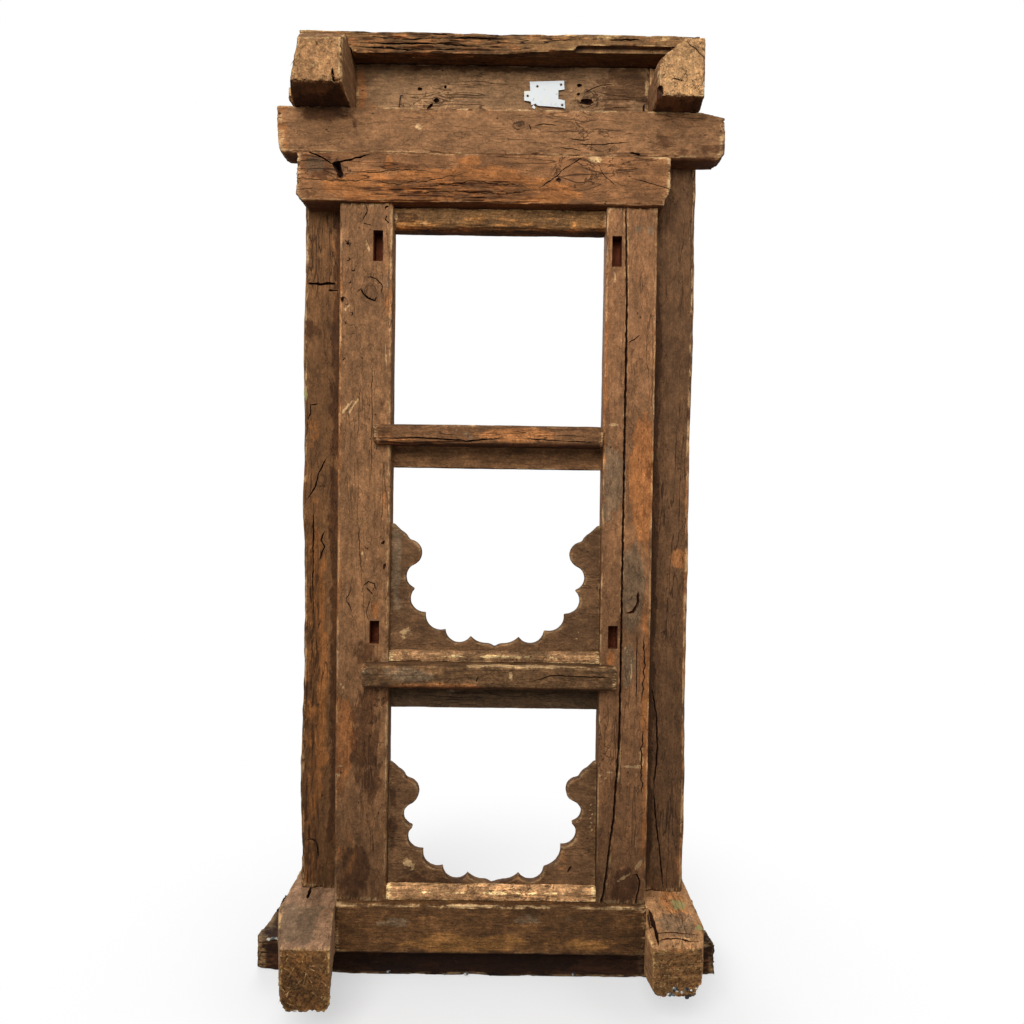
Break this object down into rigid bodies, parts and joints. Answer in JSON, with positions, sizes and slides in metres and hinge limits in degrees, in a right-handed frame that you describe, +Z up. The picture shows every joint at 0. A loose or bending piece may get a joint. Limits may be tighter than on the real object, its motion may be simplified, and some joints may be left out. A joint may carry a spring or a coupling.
{
  "type": "carved window frame",
  "caption": "Old hand-hewn timber window frame with posts between front-to-back ties, stacked openings and boards cut to cusped hanging outlines, built into a wall.",
  "frame": {"origin": "on the ground, under the middle of the openings, in the plane where the casing meets the outer posts", "axes": "+X to the right, +Z up, the room side faces -Y"},
  "size_m": [0.94, 0.423, 1.86],
  "materials": {
    "post_wood": "dry, hand-hewn and weathered",
    "casing_wood": "dry, hand-hewn and weathered",
    "beam_wood": "dry, hand-hewn and weathered",
    "tie_wood": "dry, hand-hewn and weathered",
    "plank_wood": "dry, hand-hewn and weathered",
    "worn_wood": "dry, hand-hewn and weathered",
    "carved_wood": "dry, hand-hewn and weathered"
  },
  "bodies": {
    "root": {"left_outer_post": "post_wood", "right_outer_post": "post_wood", "rear_lintel": "post_wood", "rear_sill": "post_wood", "left_inner_post": "casing_wood", "right_inner_post": "casing_wood", "right_post_strip": "casing_wood", "head_rail": "casing_wood", "upper_rail": "casing_wood", "lower_rail": "casing_wood", "bottom_sleeper": "beam_wood", "sill_beam": "beam_wood", "lower_lintel": "beam_wood", "upper_lintel": "beam_wood", "left_foot": "tie_wood", "right_foot": "tie_wood", "left_top_block": "tie_wood", "right_top_block": "tie_wood", "top_plank": "plank_wood", "rear_top_plank": "plank_wood", "frieze_board": "plank_wood", "upper_bar": "worn_wood", "lower_bar": "worn_wood", "upper_bead": "worn_wood", "lower_bead": "worn_wood", "upper_cusped_panel": "carved_wood", "lower_cusped_panel": "carved_wood"}
  },
  "joints": []
}
